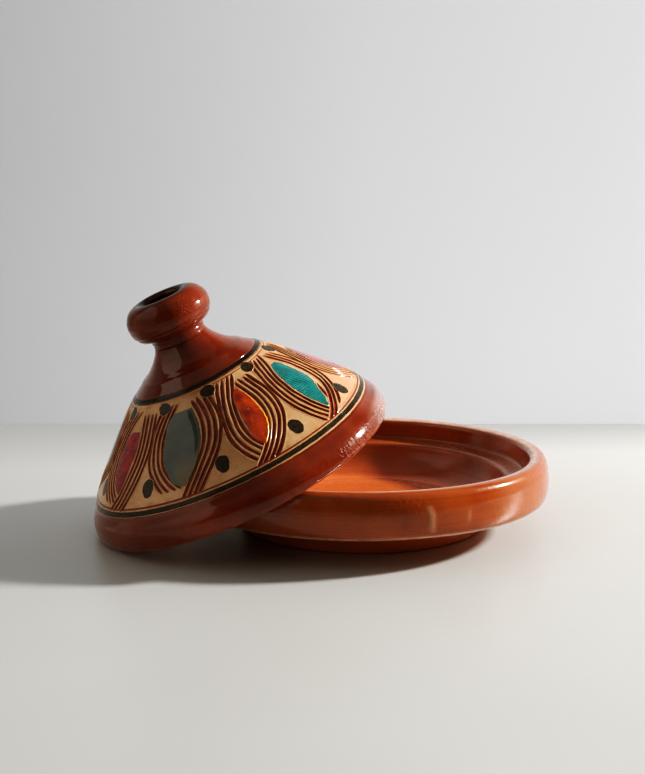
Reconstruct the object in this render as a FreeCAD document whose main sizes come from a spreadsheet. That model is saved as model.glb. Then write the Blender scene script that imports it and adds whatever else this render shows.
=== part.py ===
import FreeCAD, Part
import Sketcher
import math
import os

# Glazed earthenware tagine, its conical lid leaning against the dish.
# Frame: +Z up, millimetres, origin on the table at the centre of the dish's foot.
# The lid's own frame has its origin at the centre of its rim plane and +Z up its axis.

doc = FreeCAD.newDocument("Tagine")
sheet = doc.addObject("Spreadsheet::Sheet", "Sizes")

# Single dimensions: alias, value, meaning. Shares are parts of a layer's thickness.
SIZES = [
    ("slip_thick", 0.6, "thickness of the cream slip"),
    ("paint_thick", 0.35, "thickness of the black lines"),
    ("enamel_thick", 0.6, "thickness of the coloured enamel"),
    ("dot_thick", 0.4, "thickness of the black dots"),
    ("layer_dir_r", 0.707, "share of a layer's thickness along the radius"),
    ("layer_dir_z", 0.707, "share of a layer's thickness along the axis"),
    ("low_line_r", 107.22, "radius of the lower black line's lower edge"),
    ("low_line_z", 21.56, "height of the lower black line's lower edge"),
    ("low_line_dir_r", 0.917, "share of the lower line's thickness along the radius"),
    ("low_line_dir_z", 0.399, "share of the lower line's thickness along the axis"),
    ("top_line_r", 46.2, "radius of the upper black line's upper edge"),
    ("top_line_z", 82.93, "height of the upper black line's upper edge"),
    ("slope_angle", 45.3, "slope of the band above the rim plane"),
    ("almond_length", 54.0, "length of an almond panel up the slope"),
    ("almond_width", 29.0, "greatest width of an almond panel"),
    ("almond_count", 10, "almond panels around the lid, and dots in each ring"),
    ("almond_phase", -103.0, "bearing of the first almond in the lid's frame"),
    ("almond_ring_r", 77.0, "radius at an almond's centre"),
    ("almond_ring_z", 55.0, "height at an almond's centre"),
    ("upper_dot_size", 4.4, "radius of an upper dot"),
    ("upper_dot_ring_r", 54.6, "ring radius of the upper dots"),
    ("upper_dot_ring_z", 76.0, "ring height of the upper dots"),
    ("upper_dot_phase", -115.5, "bearing of the first upper dot"),
    ("lower_dot_size", 5.6, "radius of a lower dot"),
    ("lower_dot_ring_r", 95.4, "ring radius of the lower dots"),
    ("lower_dot_ring_z", 36.2, "ring height of the lower dots"),
    ("lower_dot_phase", -121.5, "bearing of the first lower dot"),
    ("lid_x", -88.48, "lid's rim centre, along X"),
    ("lid_y", -27.08, "lid's rim centre, along Y"),
    ("lid_z", 47.13, "lid's rim centre, above the table"),
    ("lean_angle", 24.69, "tilt of the lid's axis from upright"),
    ("lean_bearing", 197.02, "bearing the lid leans towards"),
]

# Turned outlines: corner, radius, height, curve to the next corner, meaning.
# A number gets its own cell, with the alias piece_corner_r, _z or _curve.
# Text is the alias of a cell already made. None means on the axis or on the base line.
# A curve is the arc's radius: positive bulges to the right of the way of travel,
# negative to the left, 0 is a straight run.
DISH = [
    ("recess_centre", None, 2.5, 0, "centre of the recess under the foot"),
    ("recess", 80.5, "dish_recess_centre_z", 0, "edge of the recess under the foot"),
    ("foot_inner", 82.5, None, 0, "inner edge of the foot's flat ring"),
    ("foot_flat", 90.8, None, 1.9, "outer edge of the foot's flat ring"),
    ("foot_edge", 92.4, 1.6, 0, "bottom of the foot's wall"),
    ("foot_top", 93.2, 12.6, -5.2, "top of the foot's wall, start of the cove"),
    ("cove", 98.0, 16.6, 0, "end of the cove above the foot"),
    ("under", 129.6, 21.4, 3.6, "outer edge of the underside"),
    ("heel", 133.0, 24.0, 22.0, "lower edge of the outer wall"),
    ("belly", 140.0, 37.5, 26.0, "greatest radius of the dish"),
    ("shoulder", 136.3, 51.0, 6.0, "outer shoulder of the rim"),
    ("crest", 130.6, 54.5, 5.6, "crest of the rim"),
    ("lip", 125.5, 52.6, 0, "inner edge of the rim"),
    ("gallery", 122.6, 41.0, -2.9, "bottom of the gallery wall"),
    ("ledge_outer", 120.0, 38.8, 0, "outer side of the ledge"),
    ("ledge_inner", 109.8, 37.9, 4.4, "inner side of the ledge"),
    ("bowl", 106.4, 35.2, -40.0, "top of the bowl's wall"),
    ("floor", 84.0, 12.6, 0, "outer side of the floor"),
    ("floor_centre", None, 11.2, 0, "centre of the floor"),
]

LID = [
    ("rim_inner", 110.5, None, 0, "inner edge of the bottom face"),
    ("rim_flat", 112.4, None, 3.5, "outer edge of the flat bottom face"),
    ("rim", 115.3, 3.2, 30.0, "rim above its bottom edge"),
    ("collar", 114.6, 9.0, 13.0, "upper half of the collar"),
    ("haunch", 109.2, 17.0, 0, "above the collar"),
    ("band_low", 105.5, 25.5, 0, "lower edge of the decorated band"),
    ("band_mid", 86.6, 45.4, 0, "a third of the way up the band"),
    ("band_upper", 67.9, 64.3, 0, "two thirds of the way up the band"),
    ("band_top", 48.6, 81.1, 0, "upper edge of the band"),
    ("cone", 37.6, 89.4, -44.0, "where the cone starts to sweep up"),
    ("neck", 19.8, 107.4, 0, "neck where the knob is luted on"),
    ("neck_centre", None, "lid_neck_z", 0, "centre of the neck's flat top"),
    ("apex", None, 98.6, 0, "inside apex"),
    ("in_dome", 9.5, 98.2, 0, "where the inside apex turns down"),
    ("in_neck", 31.6, 83.2, 0, "inside below the neck"),
    ("in_top", 43.1, 75.0, 0, "inside behind the band's upper edge"),
    ("in_upper", 63.0, 58.2, 0, "inside at two thirds of the band"),
    ("in_mid", 81.3, 39.6, 0, "inside at a third of the band"),
    ("in_low", 98.6, 21.6, 0, "inside behind the band's lower edge"),
    ("in_rim", 107.3, 3.6, 3.4, "inside above the rim"),
]

KNOB = [
    ("base_centre", None, "lid_neck_z", 0, "centre of the joint with the neck"),
    ("base", "lid_neck_r", "lid_neck_z", -30.0, "edge of the joint with the neck"),
    ("waist", 20.4, 112.6, -4.6, "waist under the knob"),
    ("under", 25.6, 115.6, 13.0, "underside of the knob"),
    ("belly", 31.0, 125.4, 14.0, "greatest radius of the knob"),
    ("high", 27.8, 136.0, 11.0, "upper half of the knob"),
    ("top", 19.6, 140.9, 6.0, "top of the knob"),
    ("mouth", 14.4, 138.4, 0, "mouth of the cup"),
    ("cup", 15.4, 128.0, -16.0, "widest inside of the cup"),
    ("cup_low", 11.0, 115.4, 0, "bottom of the cup's wall"),
    ("cup_floor", None, 114.2, 0, "centre of the cup's floor"),
]

# Outer corners of the thin layers: corner, corner beneath it, thickness, direction.
LAYER_CORNERS = [
    ("slip_low", "lid_band_low", "slip_thick", "layer_dir"),
    ("slip_mid", "lid_band_mid", "slip_thick", "layer_dir"),
    ("slip_upper", "lid_band_upper", "slip_thick", "layer_dir"),
    ("slip_top", "lid_band_top", "slip_thick", "layer_dir"),
    ("low_line_bottom_out", "low_line", "paint_thick", "low_line_dir"),
    ("low_line_top_out", "lid_band_low", "paint_thick", "low_line_dir"),
    ("top_line_bottom_out", "lid_band_top", "paint_thick", "layer_dir"),
    ("top_line_top_out", "top_line", "paint_thick", "layer_dir"),
]

# Which almonds, counted around the lid from the first, have each colour.
ENAMELS = {
    "enamel_teal": (2, 8),
    "enamel_red": (3, 6, 9),
    "enamel_green": (0, 4, 7),
    "enamel_orange": (1, 5),
}

ALMOND_REACH = 12  # half the depth of the solid that cuts out an almond
DOT_REACH = 8  # half the depth of the cylinder that cuts out a dot
LEAST_VOLUME = 0.5  # smaller scraps of a coat are dropped, mm3


# Filling the sheet

cells = list(SIZES)


def outline(piece, rows):
    """Add an outline's cells; return corners as (radius, height, curve, side), in aliases."""
    corners = []
    for corner, radius, height, curve, words in rows:
        aliases = []
        entries = (
            ("r", radius, "radius"),
            ("z", height, "height"),
            ("curve", abs(curve) or None, "arc to the next corner"),
        )
        for suffix, entry, meaning in entries:
            if entry is None or isinstance(entry, str):
                aliases.append(entry)
                continue
            alias = "%s_%s_%s" % (piece, corner, suffix)
            cells.append((alias, entry, "%s, %s: %s" % (piece, words, meaning)))
            aliases.append(alias)
        corners.append((*aliases, 1 if curve > 0 else -1))
    return corners


def straight_outline(*names):
    """The same kind of corners for a section of straight runs between named corners."""
    return [(name + "_r", name + "_z", None, 1) for name in names]


dish_corners = outline("dish", DISH)
lid_corners = outline("lid", LID)
knob_corners = outline("knob", KNOB)
for corner, beneath, thickness, direction in LAYER_CORNERS:
    for axis in ("r", "z"):
        formula = "=%s_%s + %s * %s_%s" % (beneath, axis, thickness, direction, axis)
        cells.append((corner + "_" + axis, formula, "layer's outer corner over " + beneath))

for row, (alias, content, words) in enumerate(cells, start=1):
    sheet.set("A%d" % row, words)
    sheet.set("B%d" % row, str(content))
    sheet.setAlias("B%d" % row, alias)
doc.recompute()


def size(alias):
    return float(sheet.get(alias))


# Turned pieces

def origin_plane(body, role):
    for feature in body.Origin.OriginFeatures:
        if feature.Role == role:
            return feature
    raise ValueError(role)


def arc_between(start, end, radius, side):
    """Arc from start to end; side is +1 to bulge right of the way of travel, -1 left."""
    (x0, y0), (x1, y1) = start, end
    dx, dy = x1 - x0, y1 - y0
    chord = math.hypot(dx, dy)
    rise = math.sqrt(radius * radius - chord * chord / 4)
    # the centre lies opposite the bulge
    cx = (x0 + x1) / 2 - side * dy / chord * rise
    cy = (y0 + y1) / 2 + side * dx / chord * rise
    first = math.atan2(y0 - cy, x0 - cx)
    last = math.atan2(y1 - cy, x1 - cx)
    if side < 0:
        # arcs run anticlockwise, so this one is drawn from its far end
        first, last = last, first
    while last < first:
        last += 2 * math.pi
    circle = Part.Circle(FreeCAD.Vector(cx, cy, 0), FreeCAD.Vector(0, 0, 1), radius)
    return Part.ArcOfCircle(circle, first, last)


def constrain(sketch, kind, *place, alias):
    """Add a dimension driven by a cell of the sheet."""
    number = sketch.addConstraint(Sketcher.Constraint(kind, *place, size(alias)))
    sketch.setExpression("Constraints[%d]" % number, "Sizes." + alias)


def turned_body(name, corners):
    """A body turned about its own Z from a closed section of lines and arcs."""
    body = doc.addObject("PartDesign::Body", name)
    body.Label = name
    sketch = body.newObject("Sketcher::SketchObject", name + "_section")
    sketch.AttachmentSupport = [(origin_plane(body, "XZ_Plane"), "")]
    sketch.MapMode = "FlatFace"

    points = [(size(r) if r else 0.0, size(z) if z else 0.0) for r, z, _, _ in corners]
    count = len(corners)
    ends = []  # per edge: geometry number, its start point, its end point
    for i, (_, _, curve, side) in enumerate(corners):
        start, end = points[i], points[(i + 1) % count]
        if curve:
            edge = arc_between(start, end, size(curve), side)
        else:
            edge = Part.LineSegment(FreeCAD.Vector(*start, 0), FreeCAD.Vector(*end, 0))
        geo = sketch.addGeometry(edge, False)
        ends.append((geo, 2, 1) if curve and side < 0 else (geo, 1, 2))

    for i in range(count):
        geo, _, last = ends[i]
        following, first, _ = ends[(i + 1) % count]
        sketch.addConstraint(
            Sketcher.Constraint("Coincident", geo, last, following, first)
        )
    for (geo, first, _), (radius, height, curve, _) in zip(ends, corners):
        # -1 is the sketch's horizontal axis, with the origin as its point 1; -2 the vertical
        for kind, alias, axis in (("DistanceX", radius, -2), ("DistanceY", height, -1)):
            if alias:
                constrain(sketch, kind, -1, 1, geo, first, alias=alias)
            else:
                sketch.addConstraint(
                    Sketcher.Constraint("PointOnObject", geo, first, axis)
                )
        if curve:
            constrain(sketch, "Radius", geo, alias=curve)

    turn = body.newObject("PartDesign::Revolution", name + "_turned")
    turn.Profile = sketch
    turn.ReferenceAxis = (sketch, ["V_Axis"])
    turn.Angle = 360.0
    sketch.Visibility = False
    body.Tip = turn
    return body


# Dish: foot ring, cove, curved outer wall, rounded rim, gallery, ledge and bowl.
dish = turned_body("base_dish", dish_corners)

# Lid: hollow clay cone with a rounded rim, a collar and a sweep into the neck.
shell = turned_body("lid_shell", lid_corners)

# Knob: a thick-walled cup on the neck's flat top.
knob = turned_body("lid_knob", knob_corners)

# Cream slip: one coat over the three runs of the band.
slip = turned_body(
    "slip_band",
    straight_outline(
        "lid_band_low", "slip_low", "slip_mid", "slip_upper",
        "slip_top", "lid_band_top", "lid_band_upper", "lid_band_mid",
    ),
)

# Black lines that border the band, one on the clay below it and one above.
low_line = turned_body(
    "lower_black_line",
    straight_outline("low_line", "low_line_bottom_out", "low_line_top_out", "lid_band_low"),
)
top_line = turned_body(
    "upper_black_line",
    straight_outline("lid_band_top", "top_line_bottom_out", "top_line_top_out", "top_line"),
)
doc.recompute()


# Patches of enamel and black on the slip

def coat(thickness):
    """A turned coat of the given thickness lying on the slip, in the lid's frame."""
    inner = [
        FreeCAD.Vector(size("slip_%s_r" % part), 0, size("slip_%s_z" % part))
        for part in ("low", "mid", "upper", "top")
    ]
    offset = FreeCAD.Vector(size("layer_dir_r"), 0, size("layer_dir_z")) * thickness
    outer = [point + offset for point in inner]
    loop = inner + outer[::-1] + [inner[0]]
    return Part.Face(Part.makePolygon(loop)).revolve(
        FreeCAD.Vector(0, 0, 0), FreeCAD.Vector(0, 0, 1), 360
    )


def set_on_slope(shape, ring, bearing):
    """Place a shape drawn about +Z on a ring of the cone, its +Z along the cone's normal."""
    lay = FreeCAD.Rotation(FreeCAD.Vector(0, 1, 0), size("slope_angle"))
    spot = FreeCAD.Vector(size(ring + "_ring_r"), 0, size(ring + "_ring_z"))
    around = FreeCAD.Rotation(FreeCAD.Vector(0, 0, 1), bearing)
    shape.Placement = FreeCAD.Placement(FreeCAD.Vector(0, 0, 0), around).multiply(
        FreeCAD.Placement(spot, lay)
    )
    return shape


def almond_tool(bearing):
    half_length = size("almond_length") / 2
    half_width = size("almond_width") / 2
    tip = FreeCAD.Vector(half_length, 0, 0)
    tail = FreeCAD.Vector(-half_length, 0, 0)
    left = Part.Arc(tail, FreeCAD.Vector(0, half_width, 0), tip).toShape()
    right = Part.Arc(tip, FreeCAD.Vector(0, -half_width, 0), tail).toShape()
    face = Part.Face(Part.Wire([left, right]))
    face.translate(FreeCAD.Vector(0, 0, -ALMOND_REACH))
    prism = face.extrude(FreeCAD.Vector(0, 0, 2 * ALMOND_REACH))
    return set_on_slope(prism, "almond", bearing)


def dot_tool(ring, bearing):
    cylinder = Part.makeCylinder(
        size(ring + "_size"), 2 * DOT_REACH, FreeCAD.Vector(0, 0, -DOT_REACH)
    )
    return set_on_slope(cylinder, ring, bearing)


def applied(name, tools, thickness):
    """One colour's patches: the coat kept only inside its tools."""
    skin = coat(thickness)
    solids = []
    for tool in tools:
        solids += [s for s in skin.common(tool).Solids if s.Volume > LEAST_VOLUME]
    feature = doc.addObject("Part::Feature", name)
    feature.Label = name
    feature.Shape = Part.Compound(solids)
    return feature


step = 360.0 / size("almond_count")

enamels = []
for name, places in ENAMELS.items():
    tools = [almond_tool(size("almond_phase") + step * k) for k in places]
    enamels.append(applied(name, tools, size("enamel_thick")))

dot_tools = [
    dot_tool(ring, size(ring + "_phase") + step * k)
    for k in range(int(size("almond_count")))
    for ring in ("upper_dot", "lower_dot")
]
dots = applied("black_dots", dot_tools, size("dot_thick"))

# Everything on the lid leans together: its rim comes down to the table on the -X side.
bearing = math.radians(size("lean_bearing"))
lean_axis = FreeCAD.Vector(-math.sin(bearing), math.cos(bearing), 0)
lean = FreeCAD.Placement(
    FreeCAD.Vector(size("lid_x"), size("lid_y"), size("lid_z")),
    FreeCAD.Rotation(lean_axis, size("lean_angle")),
)
lid_parts = [shell, knob, slip, low_line, top_line, *enamels, dots]
for part in lid_parts:
    part.Placement = lean
    for axis in ("x", "y", "z"):
        part.setExpression("Placement.Base." + axis, "Sizes.lid_" + axis)
doc.recompute()

for obj in doc.Objects:
    for flag in ("Invalid", "Error"):
        if flag in obj.State:
            raise RuntimeError("%s is %s" % (obj.Name, flag))

nodes = [dish] + lid_parts
for node in nodes:
    if node.Shape.isNull() or not node.Shape.isValid() or not node.Shape.Solids:
        raise RuntimeError(node.Name + " has no valid solid")

os.makedirs("parts", exist_ok=True)
for node in nodes:
    node.Shape.exportStep("parts/%s.step" % node.Label)
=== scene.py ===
# A glazed pottery dish with a conical lid and a hollow knob. Round the lid runs a band of cream
# slip, carved with combed grooves, painted with black lines and dots, and set with ten almonds
# of coloured enamel. The dish stands level; the lid follows the axis of its own frame pieces.
# The camera looks along +Y, so front is -Y and left is -X. Bearings run anticlockwise from +X
# seen from above. Shapes are in mm in the dish's or the lid's own frame; the stage is in metres.
import math

import bpy
import numpy as np
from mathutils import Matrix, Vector


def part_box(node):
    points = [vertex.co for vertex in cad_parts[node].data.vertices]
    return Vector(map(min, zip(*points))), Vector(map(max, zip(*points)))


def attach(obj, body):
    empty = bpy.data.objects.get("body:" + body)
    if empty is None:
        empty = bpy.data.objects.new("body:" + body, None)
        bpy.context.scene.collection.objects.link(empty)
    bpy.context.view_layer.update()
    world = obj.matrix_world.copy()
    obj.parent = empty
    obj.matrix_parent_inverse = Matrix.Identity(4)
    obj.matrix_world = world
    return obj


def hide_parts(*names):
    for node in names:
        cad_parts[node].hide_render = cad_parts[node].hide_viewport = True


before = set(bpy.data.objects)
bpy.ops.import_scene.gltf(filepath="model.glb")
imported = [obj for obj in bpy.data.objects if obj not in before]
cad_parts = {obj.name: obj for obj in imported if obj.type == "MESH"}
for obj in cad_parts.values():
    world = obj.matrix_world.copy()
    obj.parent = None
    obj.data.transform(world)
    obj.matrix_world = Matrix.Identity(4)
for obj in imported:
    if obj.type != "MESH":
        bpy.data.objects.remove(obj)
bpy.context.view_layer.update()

MM = 0.001

# ------------------------------------------------------------------ dimensions, mm

# turned outlines are (radius, z) or (radius, z, arc radius, side): the run that leaves such a
# corner is an arc that bulges right (+1) or left (-1)
DISH_OUTLINE = [
    (0, 2.5), (80.5, 2.5), (82.5, 0), (90.8, 0, 1.9, 1), (92.4, 1.6), (93.2, 12.6, 5.2, -1),
    (98, 16.6), (132.6, 21.6, 6.8, 1), (138.8, 26.2, 45, 1), (140.3, 37, 34, 1),
    (138.2, 49.5, 6.6, 1), (131.6, 54.5, 11, 1), (125.5, 52.6), (122.6, 41, 2.9, -1),
    (120, 38.8), (109.8, 37.9, 4.4, 1), (106.4, 35.2, 40, -1), (84, 12.6), (0, 11.2)]

# the lid's cone: (length up the slant, radius, z)
CONE = [
    (-9.27, 110.5, 17.7), (0, 105.5, 25.5), (13.69, 96.6, 35.9), (27.48, 86.9, 45.7),
    (40.77, 77.6, 55.2), (54.07, 68.2, 64.6), (66.95, 58.6, 73.2), (79.59, 48.9, 81.3),
    (93.01, 38.2, 89.4), (102.26, 31, 95.2)]
CONE_FOOT, CONE_TOP = CONE[0][0], CONE[-2][0]
NECK_START = CONE[-2][1:]
BAND_LOW, BAND_HIGH = -4.3, 82.1  # the slip band, along the slant
BAND_BED = 1.5                    # how far the shell is sunk under the band's panels
NECK = (19.8, 107.4)              # top of the shell, where the knob stands
LIP_INSIDE, LIP_OUTSIDE = (107.3, 3.6), (115.3, 3.2)
LIP_OUTLINE = [(*LIP_INSIDE, 3.4, 1), (110.5, 0), (112.4, 0, 3.5, 1), LIP_OUTSIDE]
COLLAR = [LIP_OUTSIDE, (115.45, 6.0), (114.9, 9.6), (113.4, 13.6), CONE[0][1:], (107.9, 21.7)]
APEX_Z = 98.6
INSIDE_OUTLINE = [(0, APEX_Z), (9.5, 98.2), (31.6, 83.2), (43.1, 75), (63, 58.2), (81.3, 39.6),
                  (98.6, 21.6), LIP_INSIDE]
KNOB_OUTLINE = [
    (0, NECK[1]), (*NECK, 30, -1), (20.4, 112.6, 4.6, -1), (25.6, 115.6, 13, 1),
    (31, 125.4, 14, 1), (27.8, 136, 11, 1), (19.6, 140.9, 6, 1), (14.4, 138.4),
    (15.4, 128, 16, -1), (11, 115.4), (0, 114.2)]
LOWER_LINE_Z = 21.56              # lowest edge of the frame's lower black line, in the lid's frame
SEAM = 1e-6                       # run added where the shell's inside starts


# ------------------------------------------------------------------ numeric helpers

def smooth(x, start, end):
    t = np.clip((x - start) / (end - start), 0.0, 1.0)
    return t * t * (3 - 2 * t)


def bell(x, middle, width):
    return np.exp(-((x - middle) / width) ** 2)


def off_bearing(turn, degrees):
    """Signed angle from a bearing."""
    return (turn - math.radians(degrees) + math.pi) % math.tau - math.pi


def around(turn, degrees, width):
    """Bell round a bearing; both in degrees."""
    return bell(off_bearing(turn, degrees), 0, math.radians(width))


def spline(knots):
    """Natural cubic through (x, y) knots, straight beyond them."""
    x, y = np.array(sorted(knots), float).T
    count, gap = len(x), np.diff(x)
    system, right = np.eye(count), np.zeros(count)
    for i in range(1, count - 1):
        system[i, i - 1:i + 2] = gap[i - 1], 2 * (gap[i - 1] + gap[i]), gap[i]
        right[i] = 6 * ((y[i + 1] - y[i]) / gap[i] - (y[i] - y[i - 1]) / gap[i - 1])
    bend = np.linalg.solve(system, right)
    slope_in = (y[1] - y[0]) / gap[0] - gap[0] * (2 * bend[0] + bend[1]) / 6
    slope_out = (y[-1] - y[-2]) / gap[-1] + gap[-1] * (bend[-2] + 2 * bend[-1]) / 6

    def curve(at):
        at = np.asarray(at, float)
        i = np.clip(np.searchsorted(x, at) - 1, 0, count - 2)
        held = np.clip(at, x[0], x[-1])
        left, ahead, width = held - x[i], x[i + 1] - held, gap[i]
        value = (bend[i] * ahead ** 3 + bend[i + 1] * left ** 3) / (6 * width)
        value = value + (y[i] / width - bend[i] * width / 6) * ahead
        value = value + (y[i + 1] / width - bend[i + 1] * width / 6) * left
        value = value + np.where(at < x[0], (at - x[0]) * slope_in, 0.0)
        return value + np.where(at > x[-1], (at - x[-1]) * slope_out, 0.0)

    return curve


def monotone(xs, ys):
    """Monotone cubic through the knots."""
    x, y = np.array(xs, float), np.array(ys, float)
    gap = np.diff(x)
    rate = np.diff(y) / gap
    slope = np.zeros(len(x))
    for i in range(1, len(x) - 1):
        if rate[i - 1] * rate[i] > 0:
            before, after = 2 * gap[i] + gap[i - 1], gap[i] + 2 * gap[i - 1]
            slope[i] = (before + after) / (before / rate[i - 1] + after / rate[i])
    slope[0], slope[-1] = rate[0], rate[-1]

    def curve(at):
        at = np.asarray(at, float)
        i = np.clip(np.searchsorted(x, at, side="right") - 1, 0, len(x) - 2)
        t = (at - x[i]) / gap[i]
        t2, t3 = t * t, t * t * t
        return ((2 * t3 - 3 * t2 + 1) * y[i] + (t3 - 2 * t2 + t) * gap[i] * slope[i]
                + (-2 * t3 + 3 * t2) * y[i + 1] + (t3 - t2) * gap[i] * slope[i + 1])

    return curve


def waves(turn, run, seed, count, turns, per_mm):
    """Smooth seeded unevenness, about -1 to 1, closed round the turn: a sum of count waves with
    up to turns cycles a turn and up to per_mm cycles a mm of run."""
    rng = np.random.default_rng(seed)
    total = np.zeros(np.broadcast(turn, run).shape)
    for _ in range(count):
        cycles, pitch = rng.integers(0, turns + 1), rng.uniform(-per_mm, per_mm)
        phase = rng.uniform(0, math.tau)
        wave = np.cos(cycles * turn + math.tau * pitch * run + phase)
        total += wave * rng.uniform(0.5, 1.0)
    return total / math.sqrt(count) / 1.4


def section(corners, step):
    """Points along a turned outline, about step apart."""
    points = []
    for corner, following in zip(corners, corners[1:]):
        start, end = np.array(corner[:2], float), np.array(following[:2], float)
        chord = np.hypot(*(end - start))
        if len(corner) == 2:
            count = max(1, int(round(chord / step)))
            points += [start + (end - start) * i / count for i in range(count)]
            continue
        radius, side = corner[2:]
        rise = math.sqrt(radius * radius - chord * chord / 4)
        along = (end - start) / chord
        centre = (start + end) / 2 + side * rise * np.array([-along[1], along[0]])
        first, last = (math.atan2(*(p - centre)[::-1]) for p in (start, end))
        while side * (last - first) < 0:
            last += side * math.tau
        sweep = last - first
        count = max(3, int(round(abs(sweep) * radius / step)), int(abs(sweep) / 0.16))
        for i in range(count):
            angle = first + sweep * i / count
            points.append(centre + radius * np.array([math.cos(angle), math.sin(angle)]))
    points.append(np.array(corners[-1][:2], float))
    return np.array(points)


def run_along(points):
    """Length run at each point of an outline."""
    points = np.asarray(points, float)
    return np.concatenate([[0], np.cumsum(np.hypot(*np.diff(points, axis=0).T))])


def polar(turn, radius, z):
    return np.stack([radius * np.cos(turn), radius * np.sin(turn), z], -1)


# ------------------------------------------------------------------ places, read from the frame

def shell_centroid(name):
    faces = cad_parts[name].data.polygons
    weights = np.array([p.area for p in faces])
    centres = np.array([p.center for p in faces])
    return (centres * weights[:, None]).sum(0) / weights.sum()


def lid_place():
    """The lid's origin and the rotation that stands it on its axis."""
    low = shell_centroid("lower_black_line")
    axis = shell_centroid("upper_black_line") - low
    axis = axis / np.linalg.norm(axis)
    line = np.array([v.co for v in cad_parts["lower_black_line"].data.vertices], float)
    origin = low + axis * ((line @ axis).min() - low @ axis - LOWER_LINE_Z * MM)
    lean = math.acos(axis[2])
    hinge = np.array([-axis[1], axis[0], 0.0]) / math.hypot(axis[0], axis[1])
    cross = np.array([[0, -hinge[2], hinge[1]], [hinge[2], 0, -hinge[0]],
                      [-hinge[1], hinge[0], 0]])
    return origin, np.eye(3) + math.sin(lean) * cross + (1 - math.cos(lean)) * cross @ cross


LID_ORIGIN, LID_ROTATION = lid_place()
dish_low, dish_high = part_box("base_dish")
DISH_ORIGIN = np.array([(dish_low[0] + dish_high[0]) / 2, (dish_low[1] + dish_high[1]) / 2,
                        dish_low[2]])


def to_lid(points):
    return (points * MM) @ LID_ROTATION.T + LID_ORIGIN


def to_dish(points):
    return points * MM + DISH_ORIGIN


# ------------------------------------------------------------------ mesh building

def make_mesh(name, points, quads, tris, attrs, normals=None):
    """Smooth object from arrays, with float attributes on its vertices."""
    mesh = bpy.data.meshes.new(name)
    mesh.vertices.add(len(points))
    mesh.vertices.foreach_set("co", np.asarray(points, np.float32).ravel())
    corners = np.concatenate([quads.ravel(), tris.ravel()]).astype(np.int32)
    mesh.loops.add(len(corners))
    mesh.loops.foreach_set("vertex_index", corners)
    totals = np.repeat([4, 3], [len(quads), len(tris)]).astype(np.int32)
    mesh.polygons.add(len(totals))
    mesh.polygons.foreach_set("loop_start", (np.cumsum(totals) - totals).astype(np.int32))
    mesh.polygons.foreach_set("loop_total", totals)
    mesh.update(calc_edges=True)
    mesh.validate()
    mesh.polygons.foreach_set("use_smooth", np.ones(len(mesh.polygons), bool))
    for key, values in attrs.items():
        attribute = mesh.attributes.new(key, "FLOAT", "POINT")
        attribute.data.foreach_set("value", np.asarray(values, np.float32).ravel())
    if normals is not None:
        mesh.normals_split_custom_set_from_vertices(np.asarray(normals, np.float32).tolist())
    mesh.update()
    return add_object(name, mesh)


def add_object(name, data):
    obj = bpy.data.objects.new(name, data)
    bpy.context.scene.collection.objects.link(obj)
    return obj


def dress(obj, material, replaced, carrier):
    """Give a piece its material and tell the frame what it stands for."""
    obj.data.materials.append(material)
    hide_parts(*replaced)
    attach(obj, carrier)


def quad_rows(*corners):
    return np.stack(corners, -1).reshape(-1, 4)


def ring_quads(ring, other, count):
    """Quads between rings of count points; ring and other are their first indices."""
    here = np.arange(count)
    after = (here + 1) % count
    return quad_rows(ring + here, ring + after, other + after, other + here)


def body_quads(first, rows, count):
    ring = first + np.arange(rows - 1)[:, None] * count
    return ring_quads(ring, ring + count, count)


def fan(tip, ring, count, flip=False):
    """Triangles from a tip on the axis to a ring."""
    here = ring + np.arange(count)
    after = ring + (np.arange(count) + 1) % count
    return np.stack([np.full(count, tip), *((after, here) if flip else (here, after))], -1)


def ring_grid(body, run, count):
    """Bearing, run, radius and z at each point of the rings."""
    turn, along = np.meshgrid(np.linspace(0, math.tau, count, endpoint=False), run)
    return turn, along, np.repeat(body[:, :1], count, 1), np.repeat(body[:, 1:], count, 1)


def turned(name, outline, count, shape, place, extra_attrs):
    """Closed turned piece whose outline runs from axis to axis; shape moves (radius, z)."""
    grid = ring_grid(outline[1:-1], run_along(outline)[1:-1], count)
    turn, run, radius, z = grid
    new_radius, new_z = shape(*grid)
    tips = [[0, 0, new_z[0].mean()], [0, 0, new_z[-1].mean()]]
    points = np.concatenate([polar(turn, new_radius, new_z).reshape(-1, 3), tips])
    attrs = {"s": run, "r0": radius, "z0": z, "a": turn, **extra_attrs(*grid)}
    attrs = {key: np.concatenate([v.ravel(), [v[-1].mean()] * 2]) for key, v in attrs.items()}
    rows = len(z)
    tip = rows * count
    tris = np.concatenate([fan(tip, 0, count, flip=True),
                           fan(tip + 1, (rows - 1) * count, count)])
    return make_mesh(name, place(points), body_quads(0, rows, count), tris, attrs)


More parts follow.
